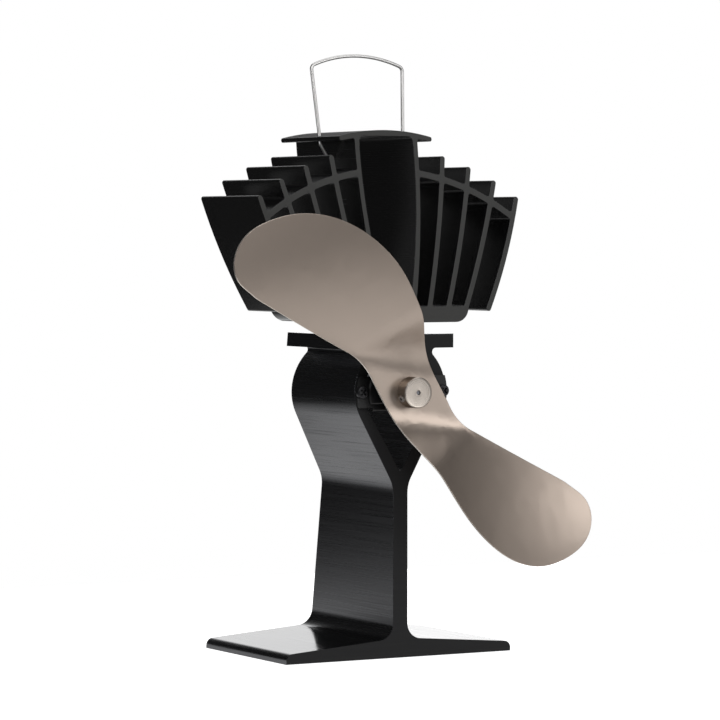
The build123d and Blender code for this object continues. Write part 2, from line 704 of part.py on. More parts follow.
# The bracket: a plate across the ring, a raised pad, and lips folded back over the can.
bracket_front_y = front_y - bracket_plate
pad_front_y = bracket_front_y - bracket_pad_rise
lip_height = motor_half_height + 2 * fit_clearance + bracket_lip
with BuildPart() as motor_bracket:
    with BuildSketch(axis_plane(front_y)):
        Circle(ring_outer_radius - bracket_inset)
        Rectangle(2 * ring_outer_radius, 2 * bracket_half_height, mode=Mode.INTERSECT)
        Rectangle(2 * bracket_lip_half_width, 2 * lip_height)
    extrude(amount=bracket_plate)
    with BuildSketch(axis_plane(front_y)):
        for side in (-1, 1):
            with Locations((0, side * (lip_height - bracket_lip / 2))):
                Rectangle(2 * bracket_lip_half_width, bracket_lip)
    extrude(amount=-bracket_lip_reach)
    front_edges = motor_bracket.edges().filter_by(Axis.X).group_by(Axis.Y)[0].sort_by(Axis.Z)
    fillet([front_edges[0], front_edges[-1]], radius=bracket_lip_bend)
    with BuildSketch(axis_plane(bracket_front_y)):
        Circle(bracket_pad_half_width)
        Rectangle(2 * bracket_pad_half_width, 2 * bracket_pad_half_height, mode=Mode.INTERSECT)
    extrude(amount=bracket_pad_rise)
    chamfer(motor_bracket.faces().sort_by(Axis.Y)[0].edges(), length=bracket_pad_bevel)
    with Locations(axis_plane(front_y)):
        Cylinder(boss_radius + 2 * fit_clearance, 4 * motor_half_width, mode=Mode.SUBTRACT)
    for side in (-1, 1):
        with Locations(axis_plane(front_y) * Location((side * motor_screw_spacing / 2, 0, 0))):
            hole_radius = motor_screw_radius + 2 * fit_clearance
            Cylinder(hole_radius, 4 * bracket_plate, mode=Mode.SUBTRACT)
        with Locations(axis_plane(front_y) * Location((side * ear_screw_spacing / 2, 0, 0))):
            Cylinder(ear_screw_radius + 2 * fit_clearance, 4 * bracket_plate, mode=Mode.SUBTRACT)
motor_bracket.part.label = "motor_bracket"
export_step(motor_bracket.part, "parts/motor_bracket.step")

with BuildPart() as bracket_screws:
    for side in (-1, 1):
        with BuildSketch(axis_plane(bracket_front_y)):
            with Locations((side * ear_screw_spacing / 2, 0)):
                Circle(ear_head_radius)
        extrude(amount=ear_head_height)
    fillet(bracket_screws.edges().group_by(Axis.Y)[0], radius=ear_head_height * 0.6)
    for side in (-1, 1):
        with BuildSketch(axis_plane(bracket_front_y - ear_head_height / 4)):
            with Locations((side * ear_screw_spacing / 2, 0)):
                Circle(ear_screw_radius)
        extrude(amount=-ear_head_height / 4 - bracket_plate - ear_screw_depth + bracket_lip)
    for side in (-1, 1):
        head_middle = axis_plane(bracket_front_y - ear_head_height) * Location((side * ear_screw_spacing / 2, 0, 0))
        for turn in (45, -45):
            with Locations(head_middle * Location((0, 0, 0), turn)):
                Box(1.2 * ear_head_radius, ear_head_radius / 3, 1.1 * ear_head_height, mode=Mode.SUBTRACT)
bracket_screws.part.label = "bracket_screws"
export_step(bracket_screws.part, "parts/bracket_screws.step")

with BuildPart() as motor_screws:
    for side in (-1, 1):
        with BuildSketch(axis_plane(pad_front_y)):
            with Locations((side * motor_screw_spacing / 2, 0)):
                Circle(motor_head_radius)
        extrude(amount=motor_head_height)
    fillet(motor_screws.edges().group_by(Axis.Y)[0], radius=motor_head_height / 2)
    for side in (-1, 1):
        with BuildSketch(axis_plane(pad_front_y)):
            with Locations((side * motor_screw_spacing / 2, 0)):
                Circle(motor_screw_radius)
        extrude(amount=-bracket_pad_rise - bracket_plate - can_wall)
        with BuildSketch(axis_plane(pad_front_y - motor_head_height)):
            with Locations(Location((side * motor_screw_spacing / 2, 0), 45)):
                Rectangle(1.2 * motor_head_radius, motor_head_radius / 3)
                Rectangle(motor_head_radius / 3, 1.2 * motor_head_radius)
        extrude(amount=-motor_head_height / 2, mode=Mode.SUBTRACT)
motor_screws.part.label = "motor_screws"
export_step(motor_screws.part, "parts/motor_screws.step")

# The hub, its set screw, the blade and the washer that the hub's spigot is closed over.
set_turn = radians(set_screw_angle)
set_screw_y = hub_face_y + set_screw_setback
set_plane = Plane(origin=(0, set_screw_y, axis_height), z_dir=(cos(set_turn), 0, sin(set_turn)))
washer_back_y = blade_y + blade_thickness / 2 + blade_seat_clearance + blade_washer_thickness
with BuildPart() as hub:
    with BuildSketch(axis_plane(hub_back_y - blade_seat_clearance)):
        Circle(hub_radius)
    extrude(amount=hub_length - blade_seat_clearance)
    chamfer(hub.edges().group_by(Axis.Y)[0], length=hub_edge_chamfer)
    with BuildSketch(axis_plane(washer_back_y)):
        Circle(hub_spigot_radius)
    extrude(amount=washer_back_y - hub_back_y + blade_seat_clearance)
    with Locations(axis_plane(hub_back_y)):
        Cylinder(shaft_radius + fit_clearance, 8 * hub_length, mode=Mode.SUBTRACT)
    with Locations(set_plane):
        Cylinder(
            set_screw_radius + fit_clearance,
            2 * hub_radius,
            align=(Align.CENTER, Align.CENTER, Align.MIN),
            mode=Mode.SUBTRACT,
        )
hub.part.label = "hub"
export_step(hub.part, "parts/hub.step")

with BuildPart() as hub_set_screw:
    with BuildSketch(set_plane.offset(shaft_radius + fit_clearance)):
        Circle(set_screw_radius)
    extrude(amount=hub_radius + set_screw_proud - shaft_radius - fit_clearance)
    with BuildSketch(set_plane.offset(hub_radius + set_screw_proud)):
        RegularPolygon(set_screw_key / 2, 6, major_radius=False)
    extrude(amount=-set_screw_key, mode=Mode.SUBTRACT)
hub_set_screw.part.label = "hub_set_screw"
export_step(hub_set_screw.part, "parts/hub_set_screw.step")

blade_turn = radians(blade_angle)
blade_plane = Plane(
    origin=(0, blade_y, axis_height), x_dir=(cos(blade_turn), 0, sin(blade_turn)), z_dir=(0, 1, 0)
)


def smooth(part):
    # A rise from 0 to 1 with level ends.
    part = min(1, max(0, part))
    return part * part * (3 - 2 * part)


def lobe_height(along, across):
    # How far one lobe of the blade rises to the front at a place along and across it.
    turn = degrees(atan2(across - fold_place[1], along - fold_place[0])) % 360
    if turn < fold_behind_angle:
        share = smooth((fold_start_angle - turn) / (fold_start_angle - fold_full_angle))
    else:
        share = smooth((turn - fold_behind_angle) / (fold_behind_full_angle - fold_behind_angle))
    droop = tip_droop * max(0, along - tip_droop_reach) ** 2
    middle = lobe_rise + lobe_rise_per_length * (along - lobe_rise_reach) - droop
    slope = lobe_slope - lobe_slope_fall * (along - lobe_slope_reach)
    height = middle + slope * across
    return share * (height + sqrt(height**2 + fold_softness**2) - fold_softness) / 2


def blade_height(along, across):
    # The rise of the blade's middle surface, the same for both lobes.
    return lobe_height(along, across) + lobe_height(-along, -across)


def blade_face(depth):
    # The surface that lies in front of the middle surface by a depth, measured square to it.
    step = 0.5
    grid = []
    for column in range(grid_columns):
        along = grid_reach * (2 * column / (grid_columns - 1) - 1)
        places = []
        for row in range(grid_rows):
            across = grid_half_width * (2 * row / (grid_rows - 1) - 1)
            fall_along = blade_height(along + step, across) - blade_height(along - step, across)
            fall_across = blade_height(along, across + step) - blade_height(along, across - step)
            spread = sqrt(1 + (fall_along**2 + fall_across**2) / (2 * step) ** 2)
            rise = blade_height(along, across) + depth * spread
            places.append(blade_plane.from_local_coords(Vector(along, across, -rise)))
        grid.append(places)
    return Face.make_surface_from_array_of_points(grid, tol=0.05, min_deg=3, max_deg=3)


with BuildPart() as blade:
    with BuildSketch(blade_plane) as blade_outline:
        neck_end = (-neck_start[0], -neck_start[1])
        with BuildLine():
            Line(neck_start, shoulder)
            neck_way = (shoulder[0] - neck_start[0], shoulder[1] - neck_start[1])
            front_way = (front_edge_middle[0] - lobe_front[0], front_edge_middle[1] - lobe_front[1])
            Spline(shoulder, *lobe_back, *lobe_tip, lobe_front, tangents=[neck_way, front_way])
            ThreePointArc(lobe_front, front_edge_middle, neck_corner)
            ThreePointArc(neck_corner, neck_hollow, neck_end)
            Line(neck_end, neck_start)
        make_face()
        add(blade_outline.sketch_local.rotate(Axis.Z, 180))
    extrude(amount=grid_half_width, both=True)
    forward = (0, -1, 0)
    back_face = blade_face(-blade_thickness / 2)
    front_face = blade_face(blade_thickness / 2)
    extrude(to_extrude=back_face, amount=2 * grid_reach, dir=forward, mode=Mode.INTERSECT)
    extrude(to_extrude=front_face, amount=2 * grid_reach, dir=forward, mode=Mode.SUBTRACT)
    with Locations(axis_plane(blade_y)):
        Cylinder(hub_spigot_radius + fit_clearance, 4 * hub_radius, mode=Mode.SUBTRACT)
blade.part.label = "blade"
export_step(blade.part, "parts/blade.step")

with BuildPart() as blade_washer:
    with BuildSketch(axis_plane(washer_back_y)):
        Circle(blade_washer_radius)
        Circle(hub_spigot_radius + fit_clearance, mode=Mode.SUBTRACT)
    extrude(amount=blade_washer_thickness)
blade_washer.part.label = "blade_washer"
export_step(blade_washer.part, "parts/blade_washer.step")

# The grommet and the two leads from the module's ledge down into the ring and to the terminals.
with BuildPart() as lead_grommet:
    with BuildSketch(Plane.XY.offset(plate_top)):
        with Locations((lead_exit_across, lead_exit_y)):
            Circle(grommet_flange_radius)
    extrude(amount=grommet_flange)
    with BuildSketch(Plane.XY.offset(plate_top)):
        with Locations((lead_exit_across, lead_exit_y)):
            Circle(grommet_radius)
    extrude(amount=-grommet_length)
    with Locations((lead_exit_across, lead_exit_y, plate_top)):
        Cylinder(grommet_radius - grommet_wall, 4 * grommet_length, mode=Mode.SUBTRACT)
lead_grommet.part.label = "lead_grommet"
export_step(lead_grommet.part, "parts/lead_grommet.step")

lead_start_y = module_y + module_width / 2 + fit_clearance
lead_height = legs_bottom + fit_clearance + lead_radius
lead_end_across = terminal_reach + terminal_thickness / 2 + fit_clearance + lead_radius
lead_end_y = terminal_end_y - tab_length / 2
lead_low = axis_height + lead_drop

with BuildPart() as red_lead:
    across = lead_exit_across + lead_spacing / 2
    with BuildLine() as red_route:
        FilletPolyline(
            (across, lead_start_y, lead_height),
            (across, lead_exit_y, lead_height),
            (across, lead_exit_y, lead_low),
            (lead_end_across, terminal_end_y + lead_bend, axis_height),
            (lead_end_across, lead_end_y, axis_height),
            radius=lead_bend,
        )
    with BuildSketch(Plane(origin=red_route.line @ 0, z_dir=red_route.line % 0)):
        Circle(lead_radius)
    sweep(path=red_route.line)
red_lead.part.label = "red_lead"
export_step(red_lead.part, "parts/red_lead.step")

with BuildPart() as black_lead:
    across = lead_exit_across - lead_spacing / 2
    with BuildLine() as black_route:
        FilletPolyline(
            (across, lead_start_y, lead_height),
            (across, lead_exit_y, lead_height),
            (across, lead_exit_y, lead_low),
            (-lead_end_across, terminal_end_y + lead_bend, axis_height),
            (-lead_end_across, lead_end_y, axis_height),
            radius=lead_bend,
        )
    with BuildSketch(Plane(origin=black_route.line @ 0, z_dir=black_route.line % 0)):
        Circle(lead_radius)
    sweep(path=black_route.line)
black_lead.part.label = "black_lead"
export_step(black_lead.part, "parts/black_lead.step")
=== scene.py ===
import bmesh
import bpy
import math
from mathutils import Matrix, Vector


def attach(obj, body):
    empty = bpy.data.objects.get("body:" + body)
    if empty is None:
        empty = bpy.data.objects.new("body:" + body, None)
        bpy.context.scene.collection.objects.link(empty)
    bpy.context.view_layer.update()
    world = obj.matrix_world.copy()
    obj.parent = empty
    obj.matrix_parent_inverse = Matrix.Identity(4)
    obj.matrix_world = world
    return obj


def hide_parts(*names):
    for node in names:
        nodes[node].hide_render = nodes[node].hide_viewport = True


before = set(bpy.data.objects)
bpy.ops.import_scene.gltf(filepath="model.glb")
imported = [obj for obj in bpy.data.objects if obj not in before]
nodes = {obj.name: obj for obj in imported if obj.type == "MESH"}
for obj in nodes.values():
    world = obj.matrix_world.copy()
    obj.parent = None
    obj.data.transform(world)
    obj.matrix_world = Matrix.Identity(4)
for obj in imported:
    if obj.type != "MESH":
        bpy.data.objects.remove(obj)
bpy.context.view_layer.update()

axisHeight = 0.1157  # the motor's axis above the floor
millimetre = 0.001
mergeGap = 0.000002  # a copied solid's vertices that are this close are one vertex
flatAngle = math.radians(0.4)  # faces that differ by less are one flat face
noiseLow, noiseHigh = 0.3, 0.7  # nearly all of a noise texture's values lie between these
print("frame loaded:", len(nodes), "nodes")


def linearColour(code):
    # an sRGB hex colour as the linear one that the shaders take
    parts = [int(code[i:i + 2], 16) / 255 for i in (1, 3, 5)]
    linear = [p / 12.92 if p <= 0.04045 else ((p + 0.055) / 1.055) ** 2.4 for p in parts]
    return (*linear, 1.0)


def addNode(tree, kind, values=None, links=None, **settings):
    # one node, with its settings, the numbers on its sockets and the links that come into it
    node = tree.nodes.new(kind)
    for key, value in settings.items():
        setattr(node, key, value)
    for key, value in (values or {}).items():
        node.inputs[key].default_value = value
    for key, source in (links or {}).items():
        tree.links.new(source, node.inputs[key])
    return node


def grainScale(*sizesMm):
    # the texture scale that gives a grain of this size, or of one size for each axis
    scales = [1 / (size * millimetre) for size in sizesMm]
    return scales if len(scales) > 1 else scales[0]


def newMaterial(name):
    material = bpy.data.materials.new(name)
    material.use_nodes = True
    tree = material.node_tree
    tree.nodes.clear()
    shader = addNode(tree, "ShaderNodeBsdfPrincipled")
    addNode(tree, "ShaderNodeOutputMaterial", links={"Surface": shader.outputs["BSDF"]}, location=(600, 0))
    return material, tree, shader


def finishSurface(tree, shader, look, patches, grain):
    # two colours in patches, and a grain that shifts the gloss and raises the surface a little
    shade = addNode(tree, "ShaderNodeMix",
                    {6: linearColour(look["colour"]), 7: linearColour(look["patchColour"])},
                    {"Factor": patches}, data_type="RGBA")
    tree.links.new(shade.outputs[2], shader.inputs["Base Color"])
    rough, spread = look["roughness"], look["roughnessSpread"]
    gloss = addNode(tree, "ShaderNodeMapRange",
                    {"From Min": noiseLow, "From Max": noiseHigh, "To Min": rough - spread,
                     "To Max": rough + spread}, {"Value": grain})
    tree.links.new(gloss.outputs["Result"], shader.inputs["Roughness"])
    bump = addNode(tree, "ShaderNodeBump",
                   {"Strength": look["bump"], "Distance": look["bumpMm"] * millimetre}, {"Height": grain})
    tree.links.new(bump.outputs["Normal"], shader.inputs["Normal"])
    shader.inputs["Metallic"].default_value = look.get("metallic", 0.0)
    if "specular" in look:
        shader.inputs["Specular IOR Level"].default_value = look["specular"]
    if "rimTint" in look:
        shader.inputs["Specular Tint"].default_value = linearColour(look["rimTint"])
    return shade


def grainyFinish(name, look):
    # a finish with one grain, which "stretch" draws out, over wider patches of colour
    material, tree, shader = newMaterial(name)
    place = addNode(tree, "ShaderNodeTexCoord").outputs["Object"]
    stretch = look.get("stretch", (1, 1, 1))
    drawn = addNode(tree, "ShaderNodeMapping", {"Scale": grainScale(*[look["grainMm"] * s for s in stretch])},
                    {"Vector": place})
    fine = addNode(tree, "ShaderNodeTexNoise", {"Scale": 1.0, "Detail": 3.0, "Roughness": 0.55},
                   {"Vector": drawn.outputs["Vector"]})
    wide = addNode(tree, "ShaderNodeTexNoise", {"Scale": grainScale(look["patchMm"]), "Detail": 2.0},
                   {"Vector": place})
    patches = addNode(tree, "ShaderNodeMapRange", {"From Min": noiseLow, "From Max": noiseHigh},
                      {"Value": wide.outputs["Fac"]})
    finishSurface(tree, shader, look, patches.outputs["Result"], fine.outputs["Fac"])
    return material


def dress(material, *names):
    for name in names:
        node = nodes[name]
        if not node.material_slots:
            node.data.materials.append(material)
        for place in node.material_slots:
            place.material = material


def newPiece(name, mesh, body, material, sharpAngle):
    # a finished piece at the origin, smooth but for its sharp edges, that rides on a body
    data = bpy.data.meshes.new(name)
    mesh.to_mesh(data)
    mesh.free()
    for face in data.polygons:
        face.use_smooth = True
    data.set_sharp_from_angle(angle=math.radians(sharpAngle))
    data.materials.append(material)
    piece = bpy.data.objects.new(name, data)
    bpy.context.collection.objects.link(piece)
    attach(piece, body)
    # flat faces stay flat beside the small bevels
    evenShade = piece.modifiers.new("evenShade", "WEIGHTED_NORMAL")
    evenShade.weight = 100
    evenShade.keep_sharp = True
    return piece


def mergedCopy(node):
    mesh = bmesh.new()
    mesh.from_mesh(nodes[node].data)
    bmesh.ops.remove_doubles(mesh, verts=mesh.verts, dist=mergeGap)
    return mesh


def softEdged(node, name, body, material, look, cutMaterial=None, shapeFirst=None):
    # the node's own shape, with the edges of its cut faces broken by a small bevel that catches the light
    mesh = mergedCopy(node)
    bmesh.ops.dissolve_limit(mesh, angle_limit=flatAngle, verts=mesh.verts, edges=mesh.edges)
    if shapeFirst:
        shapeFirst(mesh)
    sharp = [e for e in mesh.edges if len(e.link_faces) == 2
             and e.calc_face_angle(0) > math.radians(look["edgeAngle"])
             and max(abs(f.normal.y) for f in e.link_faces) > look["cutFacing"]]
    bmesh.ops.bevel(mesh, geom=sharp, offset=look["edgeMm"] * millimetre, segments=look["edgeSteps"],
                    profile=0.5, affect="EDGES", clamp_overlap=False, material=-1)
    bmesh.ops.triangulate(mesh, faces=[f for f in mesh.faces if len(f.verts) > 4])
    for face in mesh.faces:
        face.material_index = int(bool(cutMaterial) and abs(face.normal.y) > look["cutFacing"])
    piece = newPiece(name, mesh, body, material, look["edgeAngle"])
    if cutMaterial:
        piece.data.materials.append(cutMaterial)
    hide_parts(node)
    print(name, "made:", len(piece.data.polygons), "faces")


# Black anodised extrusion: near black and glossy, with fine lines along the die's direction. The stand has
# dull streaks on its leaning faces, and its level foot is smoothest, so that it shines white where it is
# seen at a low angle. The heat sink's level tops are dull.
sinkLook = {
    "coatColour": "#070708",
    "coatPatchColour": "#0c0c0d",
    "coatSpecular": 0.58,
    "coatTint": "#ffffff",
    "uprightRoughness": 0.26,
    "leaningRoughness": 0.24,
    "streakRoughness": 0.24,
    "levelRoughness": 0.7,
    "leaning": (0.05, 0.2),  # a face leans, and is level, between these shares of facing up
    "level": (0.9, 0.97),
    "streakMm": 0.8,
    "streakLengthMm": 45.0,
    "streakFrom": (0.5, 0.75),
    "lineMm": 0.5,
    "lineLengthMm": 71.4,
    "lineRoughness": 0.02,
    "lineBump": 0.08,
    "lineDepthMm": 0.04,
    "levelLines": 3.0,  # the depth of the lines on level faces, against 1 elsewhere
    "edgeMm": 0.12,
    "edgeSteps": 2,
    "edgeAngle": 40,
    "cutFacing": 0.9,
}
standLook = dict(sinkLook, coatSpecular=0.62, coatTint="#f3f5ff", uprightRoughness=0.3, streakRoughness=0.44,
                 levelRoughness=0.13, lineRoughness=0.065, lineBump=0.24, levelLines=0.1, edgeMm=0.25)


def drawnCoat(name, look):
    material, tree, shader = newMaterial(name)
    coords = addNode(tree, "ShaderNodeTexCoord")
    place = coords.outputs["Object"]
    facing = addNode(tree, "ShaderNodeSeparateXYZ", links={"Vector": coords.outputs["Normal"]})
    upward = addNode(tree, "ShaderNodeMath", links={0: facing.outputs["Z"]}, operation="ABSOLUTE")
    lineScale = grainScale(look["lineMm"], look["lineLengthMm"], look["lineMm"])
    alongDie = addNode(tree, "ShaderNodeMapping", {"Scale": lineScale}, {"Vector": place})
    dieLines = addNode(tree, "ShaderNodeTexNoise", {"Scale": 1.0, "Detail": 4.0, "Roughness": 0.7},
                       {"Vector": alongDie.outputs["Vector"]})
    streakScale = grainScale(look["streakMm"], look["streakLengthMm"], look["streakMm"])
    alongStreak = addNode(tree, "ShaderNodeMapping", {"Scale": streakScale}, {"Vector": place})
    streaks = addNode(tree, "ShaderNodeTexNoise", {"Scale": 1.0, "Detail": 3.0, "Roughness": 0.6},
                      {"Vector": alongStreak.outputs["Vector"]})
    shade = addNode(tree, "ShaderNodeMix",
                    {6: linearColour(look["coatColour"]), 7: linearColour(look["coatPatchColour"])},
                    {"Factor": streaks.outputs["Fac"]}, data_type="RGBA")
    tree.links.new(shade.outputs[2], shader.inputs["Base Color"])

    # gloss by how a face lies: upright, then leaning with its streaks, then level
    streakRough = addNode(tree, "ShaderNodeMapRange",
                          {"From Min": look["streakFrom"][0], "From Max": look["streakFrom"][1],
                           "To Min": look["leaningRoughness"], "To Max": look["streakRoughness"]},
                          {"Value": streaks.outputs["Fac"]})
    leans, level = [addNode(tree, "ShaderNodeMapRange", {"From Min": look[key][0], "From Max": look[key][1]},
                            {"Value": upward.outputs["Value"]}) for key in ("leaning", "level")]
    leanRough = addNode(tree, "ShaderNodeMix", {2: look["uprightRoughness"]},
                        {"Factor": leans.outputs["Result"], 3: streakRough.outputs["Result"]})
    evenRough = addNode(tree, "ShaderNodeMix", {3: look["levelRoughness"]},
                        {"Factor": level.outputs["Result"], 2: leanRough.outputs[0]})
    lineRough = addNode(tree, "ShaderNodeMapRange",
                        {"From Min": noiseLow, "From Max": noiseHigh, "To Min": -look["lineRoughness"],
                         "To Max": look["lineRoughness"]}, {"Value": dieLines.outputs["Fac"]})
    rough = addNode(tree, "ShaderNodeMath", operation="ADD",
                    links={0: evenRough.outputs[0], 1: lineRough.outputs["Result"]})
    tree.links.new(rough.outputs["Value"], shader.inputs["Roughness"])
    shader.inputs["Specular IOR Level"].default_value = look["coatSpecular"]
    shader.inputs["Specular Tint"].default_value = linearColour(look["coatTint"])
    lineDepth = addNode(tree, "ShaderNodeMix", {2: 1.0, 3: look["levelLines"]},
                        {"Factor": level.outputs["Result"]})
    height = addNode(tree, "ShaderNodeMath", operation="MULTIPLY",
                     links={0: dieLines.outputs["Fac"], 1: lineDepth.outputs[0]})
    bump = addNode(tree, "ShaderNodeBump",
                   {"Strength": look["lineBump"], "Distance": look["lineDepthMm"] * millimetre},
                   {"Height": height.outputs["Value"]})
    tree.links.new(bump.outputs["Normal"], shader.inputs["Normal"])
    return material


# The sawn ends of the same extrusions: dull charcoal on the heat sink and near black on the stand, specked,
# with the saw's marks across.
sawnSinkLook = {
    "colour": "#383837",
    "patchColour": "#414140",
    "speckMm": 0.714,
    "sawMarkMm": 0.4,
    "sawMarkLengthMm": 25.0,
    "sawMarkLean": 0.12,
    "roughness": 0.6,
    "roughnessSpread": 0.05,
    "bump": 0.4,
    "bumpMm": 0.05,
    "specular": 0.2,
}
sawnStandLook = dict(sawnSinkLook, colour="#151516", patchColour="#1b1b1c")


def sawnEnd(name, look):
    material, tree, shader = newMaterial(name)
    place = addNode(tree, "ShaderNodeTexCoord").outputs["Object"]
    markScale = grainScale(look["sawMarkLengthMm"], look["sawMarkMm"], look["sawMarkMm"])
    markTurn = (0, look["sawMarkLean"], 0)
    acrossSaw = addNode(tree, "ShaderNodeMapping", {"Scale": markScale, "Rotation": markTurn},
                        {"Vector": place})
    sawMarks = addNode(tree, "ShaderNodeTexNoise", {"Scale": 1.0, "Detail": 3.0, "Roughness": 0.7},
                       {"Vector": acrossSaw.outputs["Vector"]})
    specks = addNode(tree, "ShaderNodeTexNoise",
                     {"Scale": grainScale(look["speckMm"]), "Detail": 4.0, "Roughness": 0.7},
                     {"Vector": place})
    finishSurface(tree, shader, look, specks.outputs["Fac"], sawMarks.outputs["Fac"])
    return material


# The cap's overhangs, drawn even in thickness: a little thinner beside the tower and blunter at the tips.
# Sizes run out from the middle and down from the crown.
capShape = {
    "rootOutMm": 16.7,
    "filletMm": 1.0,
    "tipOutMm": 22.3,
    "tipTopMm": 2.7,
    "tipUnderMm": 4.3,
    "tipThickMm": 2.1,
    "rootLiftMm": 0.5,
    "slackMm": 0.03,
}


def bluntCap(mesh):
    shape = {key: value * millimetre for key, value in capShape.items()}
    slack = shape["slackMm"]
    crown = max(v.co.z for v in mesh.verts)
    oldThick = shape["tipUnderMm"] - shape["tipTopMm"]
    stretch = shape["tipThickMm"] / oldThick
    tipDrop = shape["tipThickMm"] - oldThick
    for v in mesh.verts:
        out = abs(v.co.x)
        below = crown - v.co.z
        onTip = out > shape["tipOutMm"] - slack
        onOverhang = shape["rootOutMm"] - shape["filletMm"] - slack < out < shape["tipOutMm"]
        if onTip and shape["tipTopMm"] - slack < below < shape["tipUnderMm"] + slack:
            v.co.z = crown - shape["tipTopMm"] - (below - shape["tipTopMm"]) * stretch
        elif onOverhang and -slack < below - shape["tipUnderMm"] < shape["filletMm"] + slack:
            share = max(out - shape["rootOutMm"], 0.0) / (shape["tipOutMm"] - shape["rootOutMm"])
            v.co.z += shape["rootLiftMm"] * (1 - share) - tipDrop * share


standCoat = drawnCoat("blackAnodisedStand", standLook)
sinkCoat = drawnCoat("blackAnodisedSink", sinkLook)
dress(standCoat, "base_stand")
dress(sinkCoat, "heat_sink")
softEdged("base_stand", "standExtrusion", "stand", standCoat, standLook, sawnEnd("sawnStand", sawnStandLook))
softEdged("heat_sink", "finnedExtrusion", "stand", sinkCoat, sinkLook, sawnEnd("sawnSink", sawnSinkLook),
          bluntCap)
print("extrusions dressed")

# Satin nickel on pressed aluminium sheet: a fine blasted grain, warm grey, with soft broad highlights, and
# sheared edges painted paler and brighter: partly the bare metal, partly a painted highlight.
bladeLook = {
    "colour": "#a4978d",
    "patchColour": "#9d9187",
    "bareEdgeAndHighlightColour": "#f2ede6",
    "roughness": 0.34,
    "roughnessSpread": 0.05,
    "grainMm": 0.35,
    "patchMm": 28.6,
    "bump": 0.18,
    "bumpMm": 0.03,
    "metallic": 0.85,
    "rimTint": "#b8aea4",
    # the sheared edges' pale colour is partly the bare metal and partly a painted highlight
    "edgeFacing": (0.45, 0.25),  # the sheared edge's colour comes in as a face turns from the front
    "edgeMm": 0.22,
    "edgeSteps": 3,
    "edgeAngle": 40,
    "cutFacing": 0.5,
}


def blastedSheet(name, look):
    material, tree, shader = newMaterial(name)
    coords = addNode(tree, "ShaderNodeTexCoord")
    fine = addNode(tree, "ShaderNodeTexNoise", {"Scale": grainScale(look["grainMm"]), "Detail": 3.0},
                   {"Vector": coords.outputs["Object"]})
    wide = addNode(tree, "ShaderNodeTexNoise", {"Scale": grainScale(look["patchMm"]), "Detail": 2.0},
                   {"Vector": coords.outputs["Object"]})
    face = finishSurface(tree, shader, look, wide.outputs["Fac"], fine.outputs["Fac"])
    # the sheared edges' pale colour, partly bare metal and partly a painted highlight, comes in as a face
    # turns from the front
    facing = addNode(tree, "ShaderNodeSeparateXYZ", links={"Vector": coords.outputs["Normal"]})
    frontward = addNode(tree, "ShaderNodeMath", links={0: facing.outputs["Y"]}, operation="ABSOLUTE")
    begins, full = look["edgeFacing"]
    edge = addNode(tree, "ShaderNodeMapRange", {"From Min": begins, "From Max": full},
                   {"Value": frontward.outputs["Value"]})
    shade = addNode(tree, "ShaderNodeMix", {7: linearColour(look["bareEdgeAndHighlightColour"])},
                    {"Factor": edge.outputs["Result"], 6: face.outputs[2]}, data_type="RGBA")
    tree.links.new(shade.outputs[2], shader.inputs["Base Color"])
    return material


bladeFinish = blastedSheet("satinNickelSheet", bladeLook)
dress(bladeFinish, "blade")
softEdged("blade", "bladeSheet", "rotor", bladeFinish, bladeLook)

# Turned and nickel plated: rings about the shaft's axis, a shade brighter than the blade.
hubLook = {
    "colour": "#b0a8a0",
    "patchColour": "#a29a92",
    "roughness": 0.31,
    "roughnessSpread": 0.07,
    "ringMm": 0.35,
    "patchMm": 3.03,
    "bump": 0.25,
    "bumpMm": 0.03,
    "metallic": 1.0,
    # a darker reflection at a low angle: painted shade on the rims, standing in for the dark room they
    # reflect
    "rimTint": "#8e8882",
    "sharpAngle": 20,
    "frontFacing": 0.99,
    "frontDepthMm": 0.1,
    "lipMm": 0.3,
    "stepMm": 0.16,
    "stepDepthMm": 0.096,
}


def turnedMetal(name, look):
    material, tree, shader = newMaterial(name)
    place = addNode(tree, "ShaderNodeTexCoord").outputs["Object"]
    fromAxis = addNode(tree, "ShaderNodeMapping", {"Location": (0, 0, -axisHeight), "Scale": (1, 0, 1)},
                       {"Vector": place})
    radius = addNode(tree, "ShaderNodeVectorMath", links={0: fromAxis.outputs["Vector"]}, operation="LENGTH")
    rings = addNode(tree, "ShaderNodeTexNoise",
                    {"Scale": grainScale(look["ringMm"]), "Detail": 3.0, "Roughness": 0.6},
                    {"W": radius.outputs["Value"]}, noise_dimensions="1D")
    wide = addNode(tree, "ShaderNodeTexNoise", {"Scale": grainScale(look["patchMm"]), "Detail": 2.0},
                   {"Vector": place})
    finishSurface(tree, shader, look, wide.outputs["Fac"], rings.outputs["Fac"])
    return material


def turnedHub(look, material):
    # the hub with its front faced off a little inside the rim, which leaves a fine lip that catches the light
    mesh = mergedCopy("hub")
    frontEnd = min(v.co.y for v in mesh.verts) + look["frontDepthMm"] * millimetre
    front = [f for f in mesh.faces
             if -f.normal.y > look["frontFacing"] and f.calc_center_median().y < frontEnd]
    bmesh.ops.inset_region(mesh, faces=front, thickness=look["lipMm"] * millimetre, use_even_offset=True)
    bmesh.ops.inset_region(mesh, faces=front, thickness=look["stepMm"] * millimetre,
                           depth=-look["stepDepthMm"] * millimetre, use_even_offset=True)
    piece = newPiece("turnedHub", mesh, "rotor", material, look["sharpAngle"])
    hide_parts("hub")
    print("hub made:", len(piece.data.polygons), "faces")


hubFinish = turnedMetal("turnedNickel", hubLook)
dress(hubFinish, "hub")
turnedHub(hubLook, hubFinish)

